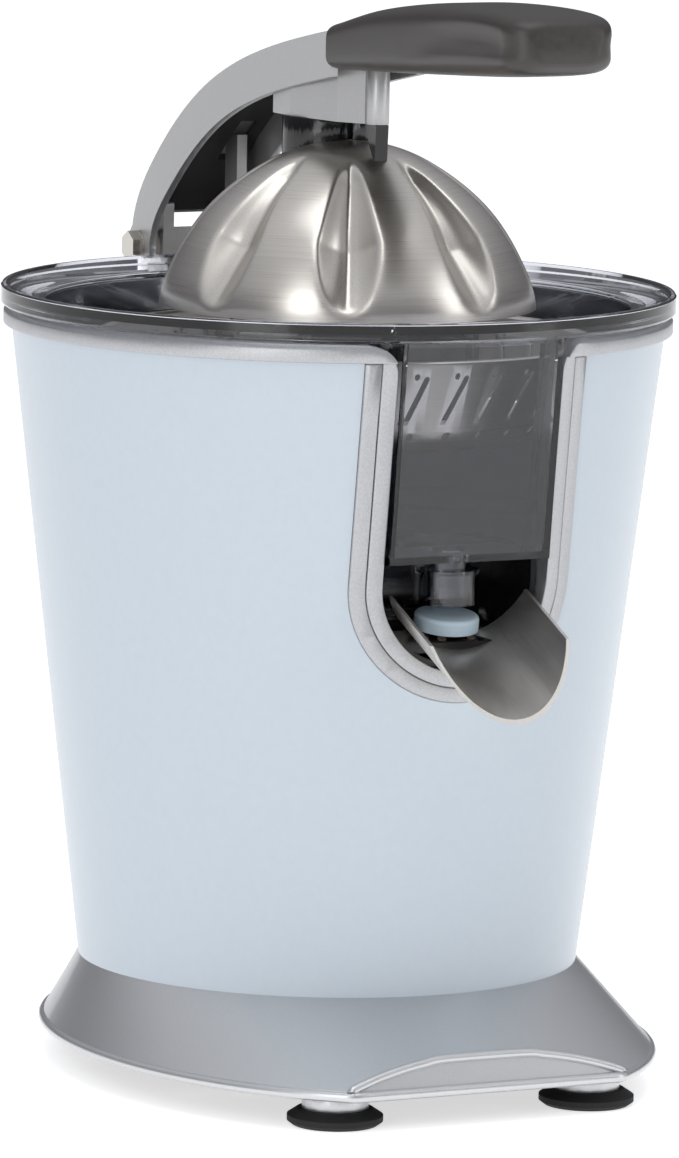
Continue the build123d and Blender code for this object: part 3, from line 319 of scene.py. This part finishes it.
# %% Skirt bead
def skirt_plan(z, t):
    """A point of the skirt at height z; t is the angle from the front."""
    blend = max(z - 13.5, 0) / 21.0
    a, b, y = 91.5 + (80 - 91.5) * blend, 118 + (80 - 118) * blend, -14.1 * (1 - blend)
    return a * math.sin(t), y - b * math.cos(t) + BODY_Y


def face_y(z):
    return -116.2 + (z - 10) * math.tan(math.radians(20)) + BODY_Y


def face_turn(z):
    """The angle at which the skirt meets its sloping face at height z, or zero above the arch."""
    if skirt_plan(z, 0)[1] > face_y(z):
        return 0.0
    low, high = 0.0, 1.5
    for _ in range(40):
        mid = (low + high) / 2
        low, high = (mid, high) if skirt_plan(z, mid)[1] < face_y(z) else (low, mid)
    return low


edge = face_turn(11.7)
hem = [(*skirt_plan(11.7, t), 11.7) for t in np.linspace(edge, 2 * math.pi - edge, 200)]
arch = []
for z in np.concatenate([np.linspace(11.7, 28.0, 22), np.linspace(28.2, 34.0, 60)]):
    if face_turn(z) > 0.0:
        arch.append((skirt_plan(z, face_turn(z))[0], face_y(z), z))
arch = arch + [(-x, y, z) for x, y, z in reversed(arch)]
hem_line = smooth_path(hem + [(x, face_y(11.7), 11.7) for x in np.linspace(hem[-1][0], hem[0][0], 12)[1:]], 300)
beads = [bead(hem_line[:-1], 1.7, True), bead(smooth_path(arch, 120), 1.5, False)]
piece("skirt_bead", mesh_of("skirt_bead", beads), "body", "silver_paint")
print("arch height above the floor, mm:", round(max(z for _, _, z in arch), 1))

# %% [markdown]
# ## The pressing dome
# The dome is deep-drawn from stainless sheet and its eight flutes are pressed in afterwards: teardrops that
# are round at the bottom and run to a point near the top. The flutes are worked out as the shape a tapered
# round punch leaves, with a fine crease along the middle, and the sheet is 1.1 mm thick.

# %% Dome
FLUTE_TURN = math.radians(-90 - 26.3)
outline = smooth_path([(60.0, 244.6), (59.5, 249.5), (57.6, 255.5), (53.0, 264.8), (47.2, 273.0), (39.5, 280.6),
                       (30.0, 287.5), (20.0, 292.8), (10.0, 295.8), (0.5, 296.8)], 86)
slope = np.gradient(outline, axis=0)
normal = np.stack([slope[:, 1], -slope[:, 0]], axis=1)
normal /= np.linalg.norm(normal, axis=1)[:, None]
angles = np.linspace(0, 2 * math.pi, 480, endpoint=False)
punch_low, punch_high = np.array((65.0, 256.0)), np.array((23.0, 293.5))
run = np.linalg.norm(punch_high - punch_low)
way = (punch_high - punch_low) / run
off = np.array((way[1], -way[0]))


def pressed(r, z):
    """How deep the punch goes in at every angle round the dome."""
    s = np.dot((r, z) - punch_low, way)
    q = max(-np.dot((r, z) - punch_low, off), 0.0)
    radius = 10.6 + (1.6 - 10.6) * min(max(s / run, 0), 1)
    turned = (angles - FLUTE_TURN + math.pi / 8) % (math.pi / 4) - math.pi / 8
    d = turned * r
    away = (d**2 + min(s, 0) ** 2 + max(s - run, 0) ** 2) / (1.3 * radius) ** 2
    depth = 0.92 * radius * (1 - away) - q
    depth = depth + 0.4 * np.exp(-((d / 1.4) ** 2)) * np.clip(depth - 0.5, 0, 1)
    return 0.5 * (depth + np.sqrt(depth**2 + 1.1**2)) - 0.05


rings = []
for layer in (0.0, 1.1):
    for (r, z), (nr, nz) in zip(outline, normal):
        move = pressed(r, z) + layer
        rr, zz = np.maximum(r - move * nr, 0.25), z - move * nz
        rings.append(np.stack([rr * np.cos(angles), PRESS_Y + rr * np.sin(angles), zz], axis=1))
rings = rings[: len(outline)] + rings[len(outline) :][::-1]
piece("fluted_dome", mesh_of("fluted_dome", [skin(rings, wrap=True)]), "arm", "spun_steel", ["press_dome"], angle=60)

# %% [markdown]
# ## The strainer
# The strainer is a pressed basket with a rolled rim. A row of leaning slots goes round its wall, with a row
# of small holes above and below. The perforations are one cutter each, repeated by Geometry Nodes and cut
# in one go; the tree's inputs say how many there are and how far out they stand.

# %% Strainer
low = 203.85
wall = [(11.3, low), (58, low), (62.5, low + 1.0), (66, low + 3), (70.5, low + 8), (78.5, 234.0), (79.2, 234.5), (81.0, 234.5),
        (81.4, 234.9), (81.0, 235.3), (78.6, 235.3), (77.6, 234.6), (69.7, low + 8.2), (65.5, low + 3.7), (62.2, low + 1.8),
        (57.7, low + 0.8), (11.3, low + 0.8)]
basket = bpy.data.objects.new("basket", mesh_of("basket", [lathe(wall, PRESS_Y, 216)]))


def cutter(name, length, width, depth, z, turn):
    """A slot-shaped cutter that points outwards along X at height z."""
    half = [(width / 2 * math.cos(a), length / 2 - width / 2 + width / 2 * math.sin(a)) for a in np.linspace(0, math.pi, 6)]
    outline = half + [(-x, -y) for x, y in half]
    ends = [[(x, u, v) for u, v in outline] for x in (-depth / 2, depth / 2)]
    mesh = mesh_of(name, [skin(ends, wrap=False)])
    mesh.transform(Matrix.Translation((0, PRESS_Y / 1000, z / 1000)) @ Euler(turn).to_matrix().to_4x4())
    return bpy.data.objects.new(name, mesh)


slot_cutter = cutter("slot_cutter", 17.5, 1.8, 12, low + 17.6, (math.radians(-24), math.radians(-18), 0))
hole_high = cutter("hole_high", 1.9, 1.8, 12, 230.6, (0, math.radians(-18), 0))
hole_low = cutter("hole_low", 1.9, 1.8, 12, 211.6, (0, math.radians(-18), 0))

tree = bpy.data.node_groups.new("perforate", "GeometryNodeTree")
ports = tree.interface
ports.new_socket("Geometry", in_out="OUTPUT", socket_type="NodeSocketGeometry")
ports.new_socket("Geometry", in_out="INPUT", socket_type="NodeSocketGeometry")
count_port = ports.new_socket("Slots", in_out="INPUT", socket_type="NodeSocketInt")
radius_port = ports.new_socket("Radius", in_out="INPUT", socket_type="NodeSocketFloat")
start, end = add(tree, "NodeGroupInput", -1200, 0), add(tree, "NodeGroupOutput", 700, 0)
cut = add(tree, "GeometryNodeMeshBoolean", 200, 0, operation="DIFFERENCE", solver="EXACT")
tree.links.new(start.outputs["Geometry"], cut.inputs[0])
step = add(tree, "ShaderNodeMath", -900, -300, operation="DIVIDE")
step.inputs[0].default_value = 2 * math.pi
tree.links.new(start.outputs["Slots"], step.inputs[1])
index = add(tree, "GeometryNodeInputIndex", -900, -450)
for row, (tool, radius_add) in enumerate(((slot_cutter, 0.0), (hole_high, 0.0027), (hole_low, -0.0032))):
    y = 300 - 400 * row
    ring = add(tree, "GeometryNodeMeshLine", -700, y, mode="OFFSET")
    ring.inputs["Offset"].default_value = (0, 0, 0)
    tree.links.new(start.outputs["Slots"], ring.inputs["Count"])
    info = add(tree, "GeometryNodeObjectInfo", -700, y - 200)
    info.inputs["Object"].default_value = tool
    reach = add(tree, "ShaderNodeMath", -700, y - 330, operation="ADD")
    reach.inputs[1].default_value = radius_add
    tree.links.new(start.outputs["Radius"], reach.inputs[0])
    shift = add(tree, "ShaderNodeCombineXYZ", -500, y - 330)
    tree.links.new(reach.outputs[0], shift.inputs["X"])
    moved = add(tree, "GeometryNodeTransform", -450, y - 200)
    tree.links.new(info.outputs["Geometry"], moved.inputs["Geometry"])
    tree.links.new(shift.outputs[0], moved.inputs["Translation"])
    lower = add(tree, "GeometryNodeTransform", -300, y - 200)
    lower.inputs["Translation"].default_value = (0, -PRESS_Y / 1000, 0)
    tree.links.new(moved.outputs[0], lower.inputs["Geometry"])
    turn = add(tree, "ShaderNodeMath", -500, y - 60, operation="MULTIPLY")
    tree.links.new(index.outputs[0], turn.inputs[0])
    tree.links.new(step.outputs[0], turn.inputs[1])
    spin = add(tree, "ShaderNodeCombineXYZ", -300, y - 60)
    tree.links.new(turn.outputs[0], spin.inputs["Z"])
    copies = add(tree, "GeometryNodeInstanceOnPoints", -150, y)
    tree.links.new(ring.outputs["Mesh"], copies.inputs["Points"])
    tree.links.new(lower.outputs[0], copies.inputs["Instance"])
    tree.links.new(spin.outputs[0], copies.inputs["Rotation"])
    real = add(tree, "GeometryNodeRealizeInstances", 0, y)
    back = add(tree, "GeometryNodeTransform", 80, y - 120)
    back.inputs["Translation"].default_value = (0, PRESS_Y / 1000, 0)
    tree.links.new(copies.outputs[0], real.inputs[0])
    tree.links.new(real.outputs[0], back.inputs["Geometry"])
    tree.links.new(back.outputs[0], cut.inputs[1])
joined = add(tree, "GeometryNodeRealizeInstances", 380, 0)
paint = add(tree, "GeometryNodeSetMaterial", 540, 0)
paint.inputs["Material"].default_value = finishes["spun_steel"]
tree.links.new(cut.outputs[0], joined.inputs[0])
tree.links.new(joined.outputs[0], paint.inputs[0])
tree.links.new(paint.outputs[0], end.inputs[0])


def baked(obj, group, values):
    """Runs a node group on an object once and returns the plain mesh it makes."""
    bpy.context.scene.collection.objects.link(obj)
    mod = obj.modifiers.new(group.name, "NODES")
    mod.node_group = group
    for port, value in values.items():
        mod[port.identifier] = value
    mesh = bpy.data.meshes.new_from_object(obj.evaluated_get(bpy.context.evaluated_depsgraph_get()))
    obj.modifiers.remove(mod)
    bpy.data.objects.remove(obj)
    return mesh


strainer_mesh = baked(basket, tree, {count_port: 36, radius_port: 0.0755})
for tool in (slot_cutter, hole_high, hole_low):
    bpy.data.objects.remove(tool)
piece("strainer_basket", strainer_mesh, "body", "spun_steel", ["strainer"])

# %% [markdown]
# ## The handle
# The handle is a moulded cover over the end of the arm. It is flat at the back where it meets the arm,
# rounds off at the free end, and a shallow wave runs along each side so that the fingers find a hold.

# %% Handle
def grip_section(y, half, top, bottom, steps=72):
    """One section of the handle, a soft rectangle with a shallow hollow along each side."""
    points = []
    for a in np.linspace(0, 2 * math.pi, steps, endpoint=False):
        c, s = math.cos(a), math.sin(a)
        u = math.copysign(abs(c) ** 0.5, c)
        v = math.copysign(abs(s) ** 0.42, s)
        crest = 0.45 * math.sin((-85 - y) / 24.0)
        hollow = 1.2 * math.exp(-(((v - crest + 0.3) / 0.3) ** 2)) * min(max((-75 - y) / 30, 0), 1) * min(max((y + 154) / 12, 0), 1)
        points.append((half * u - math.copysign(hollow, u), y + BODY_Y, (top + bottom) / 2 + (top - bottom) / 2 * v))
    return points


top_line = smooth_path([(-24.85, 336.0), (-55, 342.6), (-95, 347.0), (-135, 348.0), (-151, 345.5), (-154, 338.2)], 90)
low_line = smooth_path([(-24.85, 320.6), (-79, 323.6), (-140, 327.8), (-153, 331.5), (-154, 337.6)], 90)
sections = []
for y in np.concatenate([np.linspace(-24.85, -140, 56), -154 + 14 * (1 - np.sin(np.linspace(0.05, 0.985, 18) * math.pi / 2))]):
    top = np.interp(-y, -top_line[:, 0], top_line[:, 1])
    bottom = np.interp(-y, -low_line[:, 0], low_line[:, 1])
    half = 18.4 if y > -144 else 8.4 + 10 * math.sqrt(max(1 - ((-144 - y) / 10.1) ** 2, 0))
    sections.append(grip_section(y, half, top, bottom))
piece("sculpted_grip", mesh_of("sculpted_grip", [skin(sections, wrap=False)]), "arm", "grip_dark", ["grip"], angle=50)

# %% [markdown]
# ## Floor, light and camera
# The press stands on a plain pale floor in soft studio light: a large panel on the left, a smaller one on
# the right and one above. The camera is far away with a long lens, a little above the table, and turned so
# that the press is seen from its front left.

# %% Stage
floor_mesh = bpy.data.meshes.new("floor")
floor_mesh.from_pydata([(-30, -30, 0), (30, -30, 0), (30, 30, 0), (-30, 30, 0)], [], [(0, 1, 2, 3)])
floor = bpy.data.objects.new("floor", floor_mesh)
bpy.context.scene.collection.objects.link(floor)
pale = {"Emission_Color": (1, 1, 1, 1), "Emission_Strength": 0.62}
floor_mesh.materials.append(finish("floor_white", "#F4F4F4", "#F6F6F6", 0.75, 0.02, grain=40, bump=0, **pale))


def panel(name, place, size, power):
    """A soft light panel that faces the press."""
    light = bpy.data.lights.new(name, "AREA")
    light.shape, light.size, light.size_y, light.energy = "RECTANGLE", size[0], size[1], power
    obj = bpy.data.objects.new(name, light)
    bpy.context.scene.collection.objects.link(obj)
    obj.location = place
    obj.rotation_euler = (Vector((0, 0, 0.17)) - Vector(place)).to_track_quat("-Z", "Y").to_euler()


panel("panel_left", (-1.7, -1.3, 0.8), (0.8, 1.8), 13)
panel("panel_right", (1.5, -1.5, 0.8), (0.5, 1.6), 7)
panel("panel_top", (0.0, -0.3, 1.9), (1.3, 1.3), 9)
bpy.context.scene.view_settings.view_transform = "Standard"
world = bpy.data.worlds.new("studio")
bpy.context.scene.world = world
world.use_nodes = True
sky = world.node_tree
ray = add(sky, "ShaderNodeTexCoord", -800, 0)
height = add(sky, "ShaderNodeSeparateXYZ", -600, 0)
ramp = add(sky, "ShaderNodeValToRGB", -400, 0)
sky.links.new(ray.outputs["Generated"], height.inputs[0])
sky.links.new(height.outputs["Z"], ramp.inputs["Fac"])
sky.links.new(ramp.outputs["Color"], sky.nodes["Background"].inputs["Color"])
ramp.color_ramp.elements[0].position, ramp.color_ramp.elements[0].color = 0.05, (0.10, 0.10, 0.11, 1)
ramp.color_ramp.elements[1].position, ramp.color_ramp.elements[1].color = 0.75, (0.62, 0.63, 0.66, 1)
middle = ramp.color_ramp.elements.new(0.3)
middle.color = (0.25, 0.25, 0.27, 1)

azimuth, elevation, roll, distance = math.radians(-26.3), math.radians(7.98), math.radians(1.05), 2.8
right = Vector((math.cos(azimuth), math.sin(azimuth), 0))
back = Vector((math.sin(azimuth) * math.cos(elevation), -math.cos(azimuth) * math.cos(elevation), math.sin(elevation)))
up = back.cross(right)
target = Vector((0, BODY_Y / 1000, 0.1555)) + right * 0.0019
axis_x = math.cos(roll) * right + math.sin(roll) * up
axis_y = -math.sin(roll) * right + math.cos(roll) * up
turned = Matrix((axis_x, axis_y, back)).transposed()
camera = bpy.data.objects.new("camera", bpy.data.cameras.new("camera"))
bpy.context.scene.collection.objects.link(camera)
camera.matrix_world = Matrix.Translation(target + back * distance) @ turned.to_4x4()
camera.data.sensor_width = 36
camera.data.lens = 8758 / 1158 * 36
camera.data.clip_end = 100
bpy.context.scene.camera = camera
print("lens, mm:", round(camera.data.lens, 1))
